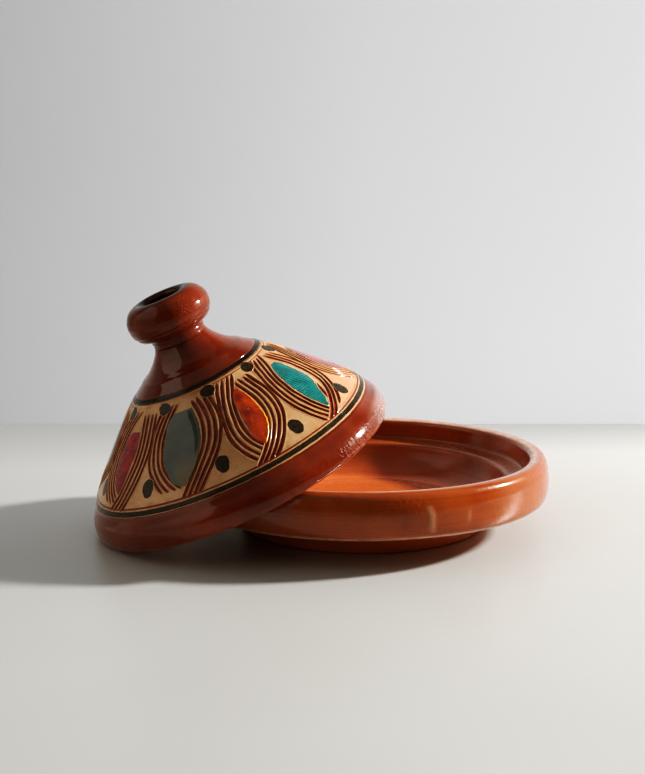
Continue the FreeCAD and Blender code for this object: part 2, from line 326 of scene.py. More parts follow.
def slab(name, front_grid, back_grid, normals, attrs, spans):
    """Closed thin solid in the lid's frame. The back keeps its end rows whole, but in between
    only the columns that bound its spans. The normals are the front's."""
    rows, cols = front_grid.shape[:2]
    kept = np.unique(np.round(np.linspace(0, cols - 1, spans + 1)).astype(int))
    front = np.arange(rows * cols).reshape(rows, cols)
    keep = np.zeros((rows, cols), bool)
    keep[[0, -1]] = True
    keep[:, kept] = True
    back = np.full((rows, cols), -1)
    back[keep] = rows * cols + np.arange(keep.sum())
    points = np.concatenate([front_grid.reshape(-1, 3), back_grid[keep]])
    normals = normals @ LID_ROTATION.T
    normals = np.concatenate([normals.reshape(-1, 3), -normals[keep]])
    quads = [
        quad_rows(front[:-1, :-1], front[:-1, 1:], front[1:, 1:], front[1:, :-1]),
        quad_rows(front[0, 1:], front[0, :-1], back[0, :-1], back[0, 1:]),
        quad_rows(front[-1, :-1], front[-1, 1:], back[-1, 1:], back[-1, :-1]),
        quad_rows(front[:-1, 0], front[1:, 0], back[1:, 0], back[:-1, 0]),
        quad_rows(front[1:, -1], front[:-1, -1], back[:-1, -1], back[1:, -1])]
    tris = []
    for left, right in zip(kept, kept[1:]):
        inner = back[1:-1]
        quads.append(quad_rows(inner[:-1, right], inner[:-1, left],
                               inner[1:, left], inner[1:, right]))
        middle = (left + right) // 2
        for row, beside, order in ((0, 1, -1), (rows - 1, rows - 2, 1)):
            for i in range(left, right):
                near = back[beside, left if i < middle else right]
                tris.append((back[row, i], back[row, i + 1], near)[::order])
            tris.append((back[row, middle], back[beside, right], back[beside, left])[::order])
    attrs = {key: np.concatenate([v.ravel(), v[keep]]) for key, v in attrs.items()}
    return make_mesh(name, to_lid(points), np.concatenate(quads), np.array(tris), attrs, normals)


# ------------------------------------------------------------------ shader graphs

class Value:
    """A node's output. Arithmetic on it adds math nodes."""

    def __init__(self, graph, socket):
        self.graph, self.socket = graph, socket

    def __add__(self, other):
        return self.graph.math("ADD", self, other)

    def __sub__(self, other):
        return self.graph.math("SUBTRACT", self, other)

    def __rsub__(self, other):
        return self.graph.math("SUBTRACT", other, self)

    def __mul__(self, other):
        return self.graph.math("MULTIPLY", self, other)

    def sine(self):
        return self.graph.math("SINE", self)

    def step(self, start, end, low=0.0, high=1.0, kind="SMOOTHSTEP"):
        """low at start, high at end, held beyond them."""
        inputs = dict(enumerate((self, start, end, low, high)))
        return self.graph.node("ShaderNodeMapRange", inputs, interpolation_type=kind)

    def mix(self, base, over):
        """Colour base where this is 0, over where it is 1."""
        inputs = {0: self, 6: base, 7: over}
        return self.graph.node("ShaderNodeMix", inputs, 2, data_type="RGBA")

    def lerp(self, base, over):
        """As mix, for numbers."""
        return self.graph.node("ShaderNodeMix", {0: self, 2: base, 3: over}, data_type="FLOAT")


class Graph:
    """A node tree, emptied, to be written as short calls."""

    def __init__(self, tree):
        self.tree = tree
        tree.nodes.clear()

    def put(self, socket, value):
        if isinstance(value, Value):
            self.tree.links.new(value.socket, socket)
        else:
            socket.default_value = (*value, 1.0) if isinstance(value, tuple) else value

    def node(self, kind, inputs=None, out=0, **props):
        node = self.tree.nodes.new(kind)
        for key, value in props.items():
            setattr(node, key, value)
        for key, value in (inputs or {}).items():
            self.put(node.inputs[key], value)
        return Value(self, node.outputs[out])

    def math(self, operation, *values):
        return self.node("ShaderNodeMath", dict(enumerate(values)), operation=operation)


class Material(Graph):
    """A Principled material on object coordinates."""

    def __init__(self, name):
        self.material = bpy.data.materials.new(name)
        self.material.use_nodes = True
        super().__init__(self.material.node_tree)
        self.output = self.tree.nodes.new("ShaderNodeOutputMaterial")
        self.shader = self.tree.nodes.new("ShaderNodeBsdfPrincipled")
        self.tree.links.new(self.shader.outputs[0], self.output.inputs[0])
        self.place = self.node("ShaderNodeTexCoord", out="Object")

    def finish(self, **inputs):
        """Set the shader's inputs, underscores standing for spaces."""
        for key, value in inputs.items():
            self.put(self.shader.inputs[key.replace("_", " ")], value)
        return self.material

    def attr(self, name):
        factor_output = 2
        return self.node("ShaderNodeAttribute", out=factor_output, attribute_name=name)

    def axis(self, letter):
        return self.node("ShaderNodeSeparateXYZ", {"Vector": self.place}, letter)

    def diffuse_ray(self):
        return self.node("ShaderNodeLightPath", out="Is Diffuse Ray")

    def combine(self, x, y, z):
        return self.node("ShaderNodeCombineXYZ", {0: x, 1: y, 2: z})

    def noise(self, scale, detail=3.0, rough=0.55, vector=None, distort=0.0):
        return self.node("ShaderNodeTexNoise", {
            "Vector": vector or self.place, "Scale": scale, "Detail": detail,
            "Roughness": rough, "Distortion": distort})

    def patches(self, scale, edges, detail=3.0, rough=0.55, high=1.0):
        """Noise stepped from 0 to high between two edges."""
        return self.noise(scale, detail, rough).step(*edges, high=high)

    def specks(self, scale, size, patch_scale, edges):
        """Dots, kept only in the patches of a broader noise."""
        cells = self.node("ShaderNodeTexVoronoi", {"Vector": self.place, "Scale": scale})
        return cells.step(0.0, size, 1, 0) * self.patches(patch_scale, edges, detail=2)

    def bump(self, height, distance=MM, strength=1.0):
        return self.node("ShaderNodeBump", {
            "Height": height, "Distance": distance, "Strength": strength})


# ------------------------------------------------------------------ clay and slip materials
# Colours are linear RGB; heights are in mm until the bump node.

GLAZE_COAT_IOR = 1.47


def lid_glaze(m):
    """Oxblood glaze: colour, roughness, height. It runs on unbroken from piece to piece."""
    clouds, fine = m.noise(22, detail=4, rough=0.6), m.noise(240, detail=4, rough=0.65)
    color = clouds.step(0.35, 0.68).mix((0.150, 0.0180, 0.0040), (0.255, 0.0360, 0.0090))
    color = fine.step(0.52, 0.78, high=0.35).mix(color, (0.130, 0.0135, 0.0035))
    by_height = m.combine(m.attr("z0") * 0.9, 0.0, 0.0)
    rings = m.noise(1, detail=4, rough=0.6, vector=by_height)
    color = rings.step(0.45, 0.75, high=0.20).mix(color, (0.40, 0.062, 0.018))
    pale = m.specks(900, size=0.16, patch_scale=60, edges=(0.5, 0.66))
    color = (pale * 0.45).mix(color, (0.42, 0.20, 0.11))
    dark = m.specks(520, size=0.10, patch_scale=45, edges=(0.52, 0.6))
    color = (dark * 0.8).mix(color, (0.02, 0.004, 0.003))
    rough = fine.step(0.4, 0.75).lerp(0.28, 0.40)
    height = m.noise(70, rough=0.5) * 0.16 + m.noise(520, rough=0.6) * 0.050
    return color, rough, height + rings * 0.045 - dark * 0.08


def shell_glaze():
    m = Material("LidGlaze")
    color, rough, height = lid_glaze(m)
    # bare clay under the rim, with a ragged worn edge just above it
    z, ragged = m.attr("z0"), m.noise(150, detail=4, rough=0.7)
    limit = (ragged - 0.5) * 4.2 + 1.1
    bare = (limit - z).step(-0.25, 0.25)
    worn = ((limit + 1.4) - z).step(-0.6, 0.6)
    clay = m.noise(300, detail=4).mix((0.34, 0.115, 0.055), (0.46, 0.20, 0.115))
    color = (worn * 0.45).mix(color, (0.34, 0.085, 0.036))
    # beads of glaze along the foot of the collar, strongest on the right
    collar = z.step(14.0, 7.0) * z.step(1.0, 2.2)
    bead = collar * m.patches(48, (0.30, 0.46), rough=0.6)
    near_right = m.attr("beaded").step(0.80, 0.985, low=0.10)
    # painted sheen: round the bearing that faces the key light, the upper collar is painted pale and
    # its specular raised
    painted_sheen = m.attr("sheen_facing").step(0.85, 0.985) * z.step(17.0, 13.0)
    grain = m.patches(310, (0.42, 0.64), detail=2, rough=0.5)
    height = height + (grain * (bead * near_right)) * 1.05
    color = (painted_sheen * 0.34).mix(color, (0.62, 0.34, 0.27))
    color = (bare * 0.85).mix(color, clay)
    rough = bare.lerp(rough, 0.55)
    inside = m.attr("inside")
    lining = m.noise(60, detail=5, rough=0.6).mix((0.24, 0.055, 0.022), (0.33, 0.09, 0.038))
    coat_rough = m.noise(35).lerp(0.02, 0.070) + (bead * near_right.step(0.5, 1.0)) * 0.09
    return m.finish(
        Base_Color=inside.mix(color, lining), Roughness=inside.lerp(rough, 0.45),
        Specular_IOR_Level=painted_sheen.lerp(0.07, 1.3), Coat_Weight=0.85,
        Coat_IOR=GLAZE_COAT_IOR, Coat_Roughness=coat_rough, Normal=m.bump(height))


def knob_glaze():
    m = Material("KnobGlaze")
    color, rough, height = lid_glaze(m)
    shaded_cup = m.attr("inside")
    pitting = m.patches(640, (0.45, 0.65), rough=0.6) * m.patches(60, (0.40, 0.56), detail=2)
    # painted shade: the inside of the knob's cup is painted near black
    color = shaded_cup.mix(color, (0.045, 0.008, 0.005))
    rim = m.attr("crest") * m.patches(180, (0.26, 0.46), detail=4, rough=0.7)
    return m.finish(
        Base_Color=(rim * 0.93).mix(color, (0.012, 0.005, 0.004)), Roughness=rough,
        Specular_IOR_Level=0.07, Coat_Weight=0.60, Coat_IOR=GLAZE_COAT_IOR,
        Coat_Roughness=m.noise(35).lerp(0.07, 0.13), Normal=m.bump(height + pitting * 0.16))


def band_slip():
    """Glaze, cream slip, grooves and black, laid over each other by signed distances."""
    m = Material("SlipBand")
    color, rough, height = lid_glaze(m)
    groove, black, slip = m.attr("g"), m.attr("k"), m.attr("c")
    fine_jitter = m.noise(620, rough=0.6) - 0.5
    jitter = m.noise(190, rough=0.6) - 0.5
    # brush streaks: long round the lid, and shorter ones up it
    along = m.combine(m.attr("bx") * 0.16, m.attr("bv") * 1.5, m.attr("seed"))
    streak = m.noise(1, detail=4, rough=0.65, vector=along)
    upward = m.combine(m.attr("bx") * 1.7, m.attr("bv") * 0.14, m.attr("seed"))
    hatch = m.noise(1, rough=0.6, vector=upward)
    # cream slip, thinner in streaks and patches and beside the grooves
    cream = m.patches(48, (0.35, 0.7), detail=4, rough=0.6).mix(
        (0.62, 0.340, 0.168), (0.76, 0.450, 0.250))
    cream = streak.step(0.45, 0.75, high=0.45).mix(cream, (0.44, 0.200, 0.085))
    cream = hatch.step(0.5, 0.8, high=0.28).mix(cream, (0.38, 0.160, 0.064))
    thin = m.noise(130, detail=4, rough=0.65) + groove.step(-2.6, -1.0) * 0.12
    cream = (thin.step(0.56, 0.74) * 0.42).mix(cream, (0.42, 0.155, 0.050))
    cream = (groove.step(-0.30, 0.0) * 0.35).mix(cream, (0.36, 0.130, 0.050))
    fleck = m.specks(620, size=0.13, patch_scale=75, edges=(0.52, 0.62))
    cream = (fleck * 0.6).mix(cream, (0.20, 0.06, 0.025))
    slip_mask = (slip + jitter * 1.0).step(-0.12, 0.12)
    color = slip_mask.mix(color, cream)
    rough = slip_mask.lerp(rough, streak.step(0.4, 0.7).lerp(0.34, 0.5))
    # fine scratches in two directions
    level = ((m.attr("bv") + m.attr("bx") * 0.16) * 7.5 + m.noise(70) * 7.0).sine()
    upright = ((m.attr("bx") - m.attr("bv") * 0.10) * 6.1 + m.noise(55) * 8.0).sine()
    scratch = (level.step(0.55, 1.0) * m.patches(95, (0.48, 0.62))
               + upright.step(0.6, 1.0) * m.patches(80, (0.54, 0.66), rough=0.5))
    color = ((scratch * slip_mask) * 0.26).mix(color, (0.30, 0.120, 0.048))
    # clay bared in the grooves, paler at their edges
    clay = m.patches(260, (0.4, 0.66), detail=4, rough=0.6).mix(
        (0.160, 0.0170, 0.0075), (0.320, 0.0450, 0.0185))
    clay = m.patches(900, (0.62, 0.75), detail=2, high=0.35).mix(clay, (0.30, 0.11, 0.05))
    clay = (groove.step(0.95, 0.25) * 0.30).mix(clay, (0.33, 0.075, 0.030))
    groove_mask = (groove + fine_jitter * 0.30).step(-0.13, 0.13)
    color = groove_mask.mix(color, clay)
    rough = groove_mask.lerp(rough, 0.30)
    # brushed black
    brush = (streak * 0.6 + hatch * 0.4).step(0.42, 0.68)
    paint = brush.mix((0.0035, 0.0045, 0.0045), (0.020, 0.023, 0.019))
    black_mask = (black + jitter * 0.75).step(-0.13, 0.13)
    color = (black_mask * brush.lerp(0.98, 0.88)).mix(color, paint)
    height = slip_mask.lerp(height, streak * 0.10 + m.noise(300) * 0.05)
    height = height - (scratch * slip_mask) * 0.055
    height = groove_mask.lerp(height, m.noise(420) * 0.10)
    coat = (slip_mask * (1.0 - black_mask)).lerp(black_mask.lerp(0.85, 0.30), 0.55)
    return m.finish(
        Base_Color=color, Roughness=black_mask.lerp(rough, 0.22), Specular_IOR_Level=0.10,
        Coat_Weight=coat, Coat_IOR=GLAZE_COAT_IOR, Coat_Roughness=slip_mask.lerp(0.06, 0.15),
        Normal=m.bump(height))


def dish_glaze():
    m = Material("DishGlaze")
    clouds, fine = m.noise(16, detail=4, rough=0.6), m.noise(210, detail=4, rough=0.65)
    color = clouds.step(0.34, 0.68).mix((0.270, 0.045, 0.0065), (0.385, 0.083, 0.0160))
    throwing = m.combine(m.attr("s") * 0.55, m.attr("ca") * 0.5, m.attr("sa") * 0.5)
    rings = m.noise(1, detail=5, rough=0.65, vector=throwing)
    color = rings.step(0.42, 0.72, high=0.32).mix(color, (0.52, 0.120, 0.034))
    color = fine.step(0.52, 0.78, high=0.30).mix(color, (0.250, 0.028, 0.0060))
    pale = m.specks(640, size=0.13, patch_scale=50, edges=(0.52, 0.64))
    color = (pale * 0.40).mix(color, (0.50, 0.24, 0.13))
    dark = m.specks(410, size=0.075, patch_scale=38, edges=(0.55, 0.62))
    color = (dark * 0.75).mix(color, (0.05, 0.010, 0.006))
    # painted light on a brighter foot and a paler well, a painted highlight on a pale crest; runnels
    # on the wall and a nick in the rim
    # painted highlight: a pale line along the rim's crest and the wall's lower corner, broken into
    # patches by noise
    thin = m.noise(90, detail=4, rough=0.7).step(0.35, 0.65, low=0.55)
    crest = m.attr("crest") * thin
    # painted bounce light: the foot and underside are painted brighter
    color = (m.attr("z0").step(17.0, 13.5) * 0.75).mix(color, (0.80, 0.170, 0.040))
    color = (crest * 0.90).mix(color, (0.84, 0.53, 0.40))
    # painted light: the well is painted paler, as where light falls in it
    well = m.attr("r0").step(104, 92) * m.attr("z0").step(5, 9)
    color = (well * 0.40).mix(color, (0.62, 0.150, 0.060))
    color = (m.attr("runnel") * 0.85).mix(color, (0.62, 0.29, 0.17))
    color = m.attr("nick").mix(color, (0.56, 0.235, 0.060))
    # bare clay under the foot
    ragged = (m.noise(170, detail=4, rough=0.7) - 0.5) * 2.4
    bare = (m.attr("z0") + ragged).step(0.7, 1.3, 1, 0)
    clay = m.noise(260, detail=4).mix((0.36, 0.145, 0.072), (0.47, 0.215, 0.122))
    rough = fine.step(0.4, 0.75).lerp(0.26, 0.38)
    height = m.noise(55, rough=0.5) * 0.34 + m.noise(460, rough=0.6) * 0.062 + rings * 0.07
    inner = m.attr("r0").step(125, 121) * m.attr("z0").step(5, 9)
    pitting = m.patches(300, (0.45, 0.62), rough=0.6) * m.patches(26, (0.46, 0.58), rough=0.6)
    height = height + (pitting * 0.075) * (1.0 - inner)
    coat_rough = inner.lerp(m.noise(30).lerp(0.04, 0.14), well.lerp(0.24, 0.13))
    return m.finish(
        Base_Color=bare.mix(color, clay), Roughness=bare.lerp(rough, 0.7),
        Specular_IOR_Level=0.07, Coat_Weight=bare.lerp(0.90, 0.0), Coat_IOR=GLAZE_COAT_IOR,
        Coat_Roughness=coat_rough, Normal=m.bump(height - dark * 0.10))


# ------------------------------------------------------------------ dish

def dish_runnels(turn, radius, z):
    """Two thin runs of glaze down the outer wall, at the front right."""
    bent = turn + math.radians(0.9) * smooth(z, 38, 46) - math.radians(0.5) * smooth(31 - z, 0, 4)
    outside = radius > 125
    first = around(bent, -72.3, 0.85) * smooth(z, 25.5, 29) * (1 - smooth(z, 43, 47)) * outside
    second = around(turn, -61.0, 0.42) * smooth(z, 30, 33) * (1 - smooth(z, 38, 42)) * outside
    return first + second * 0.6


def dish_shape(turn, run, radius, z):
    raised = smooth(z, 8, 30)
    wall = smooth(radius, 96, 120) * raised
    # broad unevenness, a bulge that sags at the front left, fine rings, the runnels
    out = 0.45 * waves(turn, run, 11, 22, 5, 0.02) * (0.25 + 0.75 * raised)
    out = out + wall * 1.3 * around(turn, -120, 38)
    up = 0.30 * waves(turn, run, 12, 14, 4, 0.008) * wall - 0.7 * wall * around(turn, -120, 40)
    rings = waves(turn, run, 13, 26, 2, 0.32) * 0.10 + waves(turn, run, 14, 20, 1, 0.6) * 0.035
    out = out + rings * (z > 3) + 0.30 * dish_runnels(turn, radius, z)
    # the nick in the rim, and rings in the well
    up = up - 0.66 * around(turn, -28, 1.3) * bell(radius, 129, 2.4) * (z > 50)
    up = up + (radius < 106) * (z > 8) * (waves(turn, run, 15, 24, 3, 0.16) * 0.14)
    return radius + out, np.maximum(z + up, 0.0) * (z >= 1e-6)


def dish_attrs(turn, run, radius, z):
    # where the painted highlight goes: the rim's top and the wall's lower corner
    top = bell(radius, 129.2, 2.5) * (z > 50)
    lower_corner = 0.75 * bell(z, 22.9, 1.3) * (radius > 128)
    nick = around(turn, -28, 1.1) * bell(radius, 129, 2.0) * (z > 51)
    return {"ca": np.cos(turn), "sa": np.sin(turn), "crest": top + lower_corner,
            "runnel": np.clip(dish_runnels(turn, radius, z), 0, 1),
            "nick": np.clip(nick * 1.6, 0, 1)}


dish = turned("Dish", section(DISH_OUTLINE, 1.95), 480, dish_shape, to_dish, dish_attrs)
dress(dish, dish_glaze(), ["base_dish"], "dish")


# ------------------------------------------------------------------ lid's outer surface

slants, radii, heights = zip(*CONE)
cone_radius, cone_z = monotone(slants, radii), monotone(slants, heights)


def lid_uneven(turn, z):
    return 0.28 * waves(turn, z, 21, 20, 5, 0.014)


def wall_normal(slant):
    half_step = 0.05
    above, below = slant + half_step, slant - half_step
    wider, higher = cone_radius(above) - cone_radius(below), cone_z(above) - cone_z(below)
    length = np.hypot(wider, higher)
    return higher / length, -wider / length


def cone(turn, slant, height):
    """Point at a height above the lid's surface, along the wall's normal."""
    out, up = wall_normal(slant)
    rise = lid_uneven(turn, cone_z(slant)) + height
    return polar(turn, cone_radius(slant) + out * rise, cone_z(slant) + up * rise)


# ------------------------------------------------------------------ lid shell

def cone_section(low, high, count, sunk=0.0):
    slant = np.linspace(low, high, count)
    out, up = wall_normal(slant)
    return np.stack([cone_radius(slant) - out * sunk, cone_z(slant) - up * sunk], -1)


def shell_outline():
    """Outside of the lid, from the lip's inner edge up to the axis."""
    run = run_along(COLLAR)
    along = np.linspace(0, run[-2], 26)[:-1]
    collar = [spline(zip(run, values))(along) for values in zip(*COLLAR)]
    return np.concatenate([
        section(LIP_OUTLINE, 0.62)[:-1],
        np.stack(collar, -1),
        cone_section(CONE_FOOT, BAND_LOW, 7),
        cone_section(BAND_LOW, BAND_HIGH, 14, BAND_BED),
        cone_section(BAND_HIGH, CONE_TOP, 14),
        section([(*NECK_START, 44, -1), NECK, (10, NECK[1]), (0, NECK[1])], 1.1)[1:]])


def outside_shape(turn, run, radius, z):
    uneven = lid_uneven(turn, z)
    on_cone = smooth(z, 12, 20)
    out = 1 - np.where(z < 17, 0.0, 0.30) * on_cone
    rings = (waves(turn, run, 22, 24, 2, 0.30) * 0.07 * (1 - smooth(z, 18, 21))
             + waves(turn, run, 23, 22, 2, 0.25) * 0.16 * smooth(z, 84, 88))
    fade = 1 - smooth(z, 104, 107)
    new_z = z + uneven * 0.714 * on_cone * fade * (z > 3.3)
    return radius + (uneven * out + rings) * fade, np.where(z < 0.01, 0.0, new_z)


def inside_shape(turn, run, radius, z):
    return radius + 0.3 * waves(turn, run, 24, 20, 4, 0.05) * (radius > 12), z


def lid_shell():
    """Outer and inner skin turned as one closed body, joined at the lip."""
    count = 560
    outer, inner = shell_outline(), section(INSIDE_OUTLINE, 3.6)
    outer_run = run_along(outer)
    inner_run = outer_run[-1] + SEAM + run_along(inner)
    skins = ((outer[:-1], outer_run[:-1], outside_shape, 0.0),
             (inner[1:-1], inner_run[1:-1], inside_shape, 1.0))
    points, attrs = [], {"s": [], "z0": [], "a": [], "inside": []}
    for body, body_run, shape, is_inside in skins:
        turn, run, radius, z = ring_grid(body, body_run, count)
        points.append(polar(turn, *shape(turn, run, radius, z)).reshape(-1, 3))
        for key, grid in zip(attrs, (run, z, turn, np.full(turn.shape, is_inside))):
            attrs[key].append(grid.ravel())
    tips = np.array([[0, 0, NECK[1]], [0, 0, APEX_Z]])
    attrs = {key: np.concatenate(parts + [np.zeros(2)]) for key, parts in attrs.items()}
    # bearings for the glaze beads and for the pale sheen painted on the collar
    attrs["beaded"], attrs["sheen_facing"] = np.cos(attrs["a"] + 0.25), np.cos(attrs["a"] - 0.14)
    outer_rows, inner_rows = (len(skin[0]) for skin in skins)
    split, end = outer_rows * count, (outer_rows + inner_rows) * count
    quads = np.concatenate([body_quads(0, outer_rows, count),
                            body_quads(split, inner_rows, count),
                            ring_quads(end - count, 0, count)])
    tris = np.concatenate([fan(end, split - count, count), fan(end + 1, split, count, flip=True)])
    return make_mesh("LidShell", to_lid(np.concatenate(points + [tips])), quads, tris, attrs)


dress(lid_shell(), shell_glaze(), ["lid_shell"], "lid")


# ------------------------------------------------------------------ knob

def knob_shape(turn, run, radius, z):
    outer = (radius > 13) & (run < 90)
    raised = smooth(z, NECK[1], 110)
    # three creases: round the belly, just above the foot, and under the swell
    crease = (-0.75 * bell(z, 119.4 + 0.8 * np.cos(turn + 0.6), 0.55) * (radius > 22)
              - 0.5 * bell(z, 109.9 + 0.4 * np.sin(2 * turn), 0.5)
              - 0.45 * bell(z, 112.6, 0.45) * (radius < 23))
    rings = (waves(turn, run, 31, 22, 2, 0.28) * 0.18
             + waves(turn, run, 32, 16, 4, 0.05) * 0.45 * raised)
    outside = lid_uneven(turn, z) * (1 - raised) + rings * raised + crease * raised
    out = np.where(outer, outside, rings * 0.5 * (radius > 3))
    up = 0.35 * waves(turn, run, 33, 10, 3, 0.01) * smooth(z, 120, 136)
    return radius + out * (radius > 1), z + up


def knob_attrs(turn, run, radius, z):
    # the inside of the cup, which the knob's glaze paints dark as shade
    shaded_cup = (1 - smooth(radius, 15.0, 16.6)) * (z > 113.5) * (run > 80)
    return {"inside": shaded_cup, "crest": np.clip(1.25 * bell(radius, 18.0, 3.9), 0, 1) * (z > 131)}


knob = turned("LidKnob", section(KNOB_OUTLINE, 0.62), 300, knob_shape, to_lid, knob_attrs)
dress(knob, knob_glaze(), ["lid_knob"], "lid")


# ------------------------------------------------------------------ decoration, as drawn
# x is measured round the lid from an almond's bearing, slant up the cone.

ALMOND_BEARINGS = [-177, -142, -104.5, -65.5, -30, 8, 43, 78, 113, 148]
KINDS = ["teal", "red", "green", "orange", "teal", "red", "green", "orange", "red", "green"]

# two combs a kind: (half width of a groove, lowest slant, highest slant, grooves); a groove is
# its x at each of COMB_SLANTS, None where it has run out
COMB_SLANTS = range(72, 0, -4)
COMBS = {
    "teal": ((1.16, 3.4, 75.2, [
        [-8.1, -11.1, -13.0, -15.0, -16.9, -18.5, -19.8, -21.1, -22.1,
         -22.9, -23.4, -23.6, -23.6, -23.3, -22.9, -22.0, -20.9, -19.6],
        [-4.5, -7.1, -9.2, -11.2, -13.3, -15.0, -16.4, -17.6, -18.5,
         -19.2, -19.6, -19.8, -19.6, -19.3, -18.7, -17.8, -16.2, -14.6],
        [-0.6, -3.0, -5.3, -7.5, -9.5, -11.1, -12.4, -13.4, -14.3,
         -15.0, -15.4, -15.5, -15.1, -14.8, -14.1, -12.9, -11.3, -9.4],
        [3.3, 1.4, -1.0, -3.7, -6.1, -7.9, -9.2, -10.0, -11.0,
         -11.7, -11.8, -11.8, -11.6, -11.2, -10.3, -9.1, -7.2, -5.0]]),
        (1.26, 2.0, 71.2, [
        [7.4, 9.1, 10.8, 12.5, 14.1, 15.4, 16.3, 17.1, 17.5,
         17.4, 16.9, 15.6, 13.1, 9.4, 4.9, -0.6, -6.7, -14.0],
        [11.1, 12.8, 14.7, 16.4, 18.1, 19.4, 20.4, 21.2, 21.7,
         21.8, 21.3, 20.2, 17.6, 14.2, 9.8, 4.4, -1.5, -8.4],
        [None, 16.9, 18.8, 20.7, 22.4, 23.7, 24.9, 25.8, 26.3,
         26.6, 26.2, 25.2, 22.8, 19.6, 15.4, 10.4, 4.8, None]])),
    "orange": ((1.24, 5.0, 75.4, [
        [-5.9, -8.1, -9.9, -11.5, -13.1, -14.6, -16.0, -17.1, -18.2,
         -19.3, -20.2, -20.5, -20.4, -19.6, -18.4, -16.7, -14.6, None],
        [-2.0, -4.2, -6.3, -8.2, -10.0, -11.6, -12.9, -14.1, -15.1,
         -16.0, -16.6, -16.8, -16.4, -15.5, -14.0, -12.0, -9.4, None],
        [2.2, 0.0, -2.1, -4.2, -6.0, -7.5, -9.0, -10.1, -11.1,
         -12.0, -12.4, -12.4, -11.9, -10.8, -9.1, -6.8, None, None],
        [6.0, 3.7, 1.4, -0.8, -2.7, -4.3, -5.7, -6.9, -7.9,
         -8.6, -9.0, -8.9, -8.2, -6.8, -4.8, None, None, None]]),
        (1.22, 1.9, 68.9, [
        [4.3, 5.4, 6.5, 7.8, 9.0, 10.0, 10.7, 11.0, 11.0,
         10.5, 9.3, 7.6, 5.2, 2.3, -1.1, -5.1, -9.6, -14.6],
        [8.2, 9.4, 10.4, 11.6, 12.8, 13.9, 14.6, 14.9, 14.9,
         14.5, 13.4, 11.8, 9.5, 6.5, 3.1, -0.7, -5.1, -10.3],
        [12.2, 13.4, 14.5, 15.7, 16.9, 18.0, 18.7, 19.1, 19.1,
         18.8, 17.9, 16.4, 14.1, 11.1, 7.7, 3.9, -0.6, -5.8],
        [15.8, 17.0, 18.2, 19.4, 20.6, 21.8, 22.5, 22.8, 22.9,
         22.6, 21.9, 20.5, 18.3, 15.4, 12.4, 8.6, 4.1, -1.1]])),
    "green": ((1.08, 9.3, 71.6, [
        [-8.8, -11.2, -13.5, -15.7, -17.9, -20.0, -21.6, -22.8, -23.9,
         -24.9, -25.4, -25.3, -24.3, -22.6, -20.6, -18.2, -15.1, None],
        [-5.2, -7.6, -10.0, -12.4, -14.5, -16.4, -18.0, -19.3, -20.3,
         -21.1, -21.5, -21.3, -20.1, -18.4, -16.2, -13.4, -10.4, None],
        [-1.6, -4.0, -6.4, -8.8, -10.9, -12.8, -14.3, -15.5, -16.4,
         -17.1, -17.5, -17.0, -15.7, -13.6, -11.0, -7.8, None, None],
        [2.0, -0.6, -3.0, -5.2, -7.2, -9.2, -10.8, -12.0, -12.9,
         -13.6, -13.9, -13.3, -11.9, -9.8, -7.0, -3.4, None, None]]),
        (1.34, 2.3, 71.0, [
        [11.9, 13.6, 15.4, 17.0, 18.2, 19.1, 19.6, 19.6, 19.3,
         18.5, 17.0, 15.0, 12.7, 10.5, 8.3, 5.8, 3.2, 0.6],
        [16.2, 17.7, 19.5, 21.1, 22.3, 23.2, 23.7, 23.7, 23.4,
         22.7, 21.4, 19.5, 17.2, 14.9, 12.6, 10.0, 7.4, 4.8],
        [20.3, 21.9, 23.6, 25.2, 26.5, 27.5, 28.0, 28.1, 28.0,
         27.4, 26.2, 24.4, 22.1, 19.6, 17.1, 14.5, 11.8, 9.0],
        [24.0, 25.5, 27.1, 28.7, 30.2, 31.2, 31.7, 31.8, 31.6,
         31.1, 30.2, 28.6, 26.5, 24.1, 21.4, 18.7, 15.9, 13.0]])),
    "red": ((1.16, 6.2, 73.0, [
        [-8.0, -10.7, -13.4, -15.8, -17.9, -19.9, -21.8, -23.4, -24.6,
         -25.2, -25.4, -25.3, -24.8, -23.8, -22.2, -19.6, -16.4, None],
        [-4.0, -6.7, -9.4, -11.7, -13.6, -15.4, -17.3, -19.1, -20.4,
         -21.1, -21.3, -21.2, -20.7, -19.5, -17.3, -14.2, -10.5, None],
        [0.0, -2.7, -5.4, -7.6, -9.5, -11.2, -13.1, -15.0, -16.3,
         -16.9, -17.1, -17.0, -16.4, -14.9, -12.3, -8.7, -4.6, None],
        [4.0, 1.3, -1.4, -3.4, -5.3, -7.2, -9.2, -11.1, -12.4,
         -12.9, -13.0, -12.7, -12.0, -10.4, -7.4, -3.6, None, None]]),
        (1.18, 1.8, 70.4, [
        [9.2, 10.2, 11.2, 12.2, 13.0, 13.5, 13.8, 13.9, 13.6,
         12.9, 11.6, 10.1, 8.5, 6.7, 4.9, 2.7, -0.5, -4.3],
        [13.0, 14.0, 15.0, 16.0, 16.8, 17.3, 17.5, 17.5, 17.2,
         16.7, 15.6, 14.1, 12.7, 11.1, 9.4, 7.1, 4.5, 1.0],
        [17.1, 18.1, 19.0, 19.9, 20.7, 21.3, 21.6, 21.7, 21.4,
         20.9, 20.0, 18.8, 17.5, 16.1, 14.4, 12.2, 9.8, 6.5],
        [20.8, 21.7, 22.6, 23.5, 24.3, 25.0, 25.4, 25.5, 25.3,
         24.8, 24.0, 22.9, 21.7, 20.3, 18.5, 16.3, 13.9, 10.7]])),
}

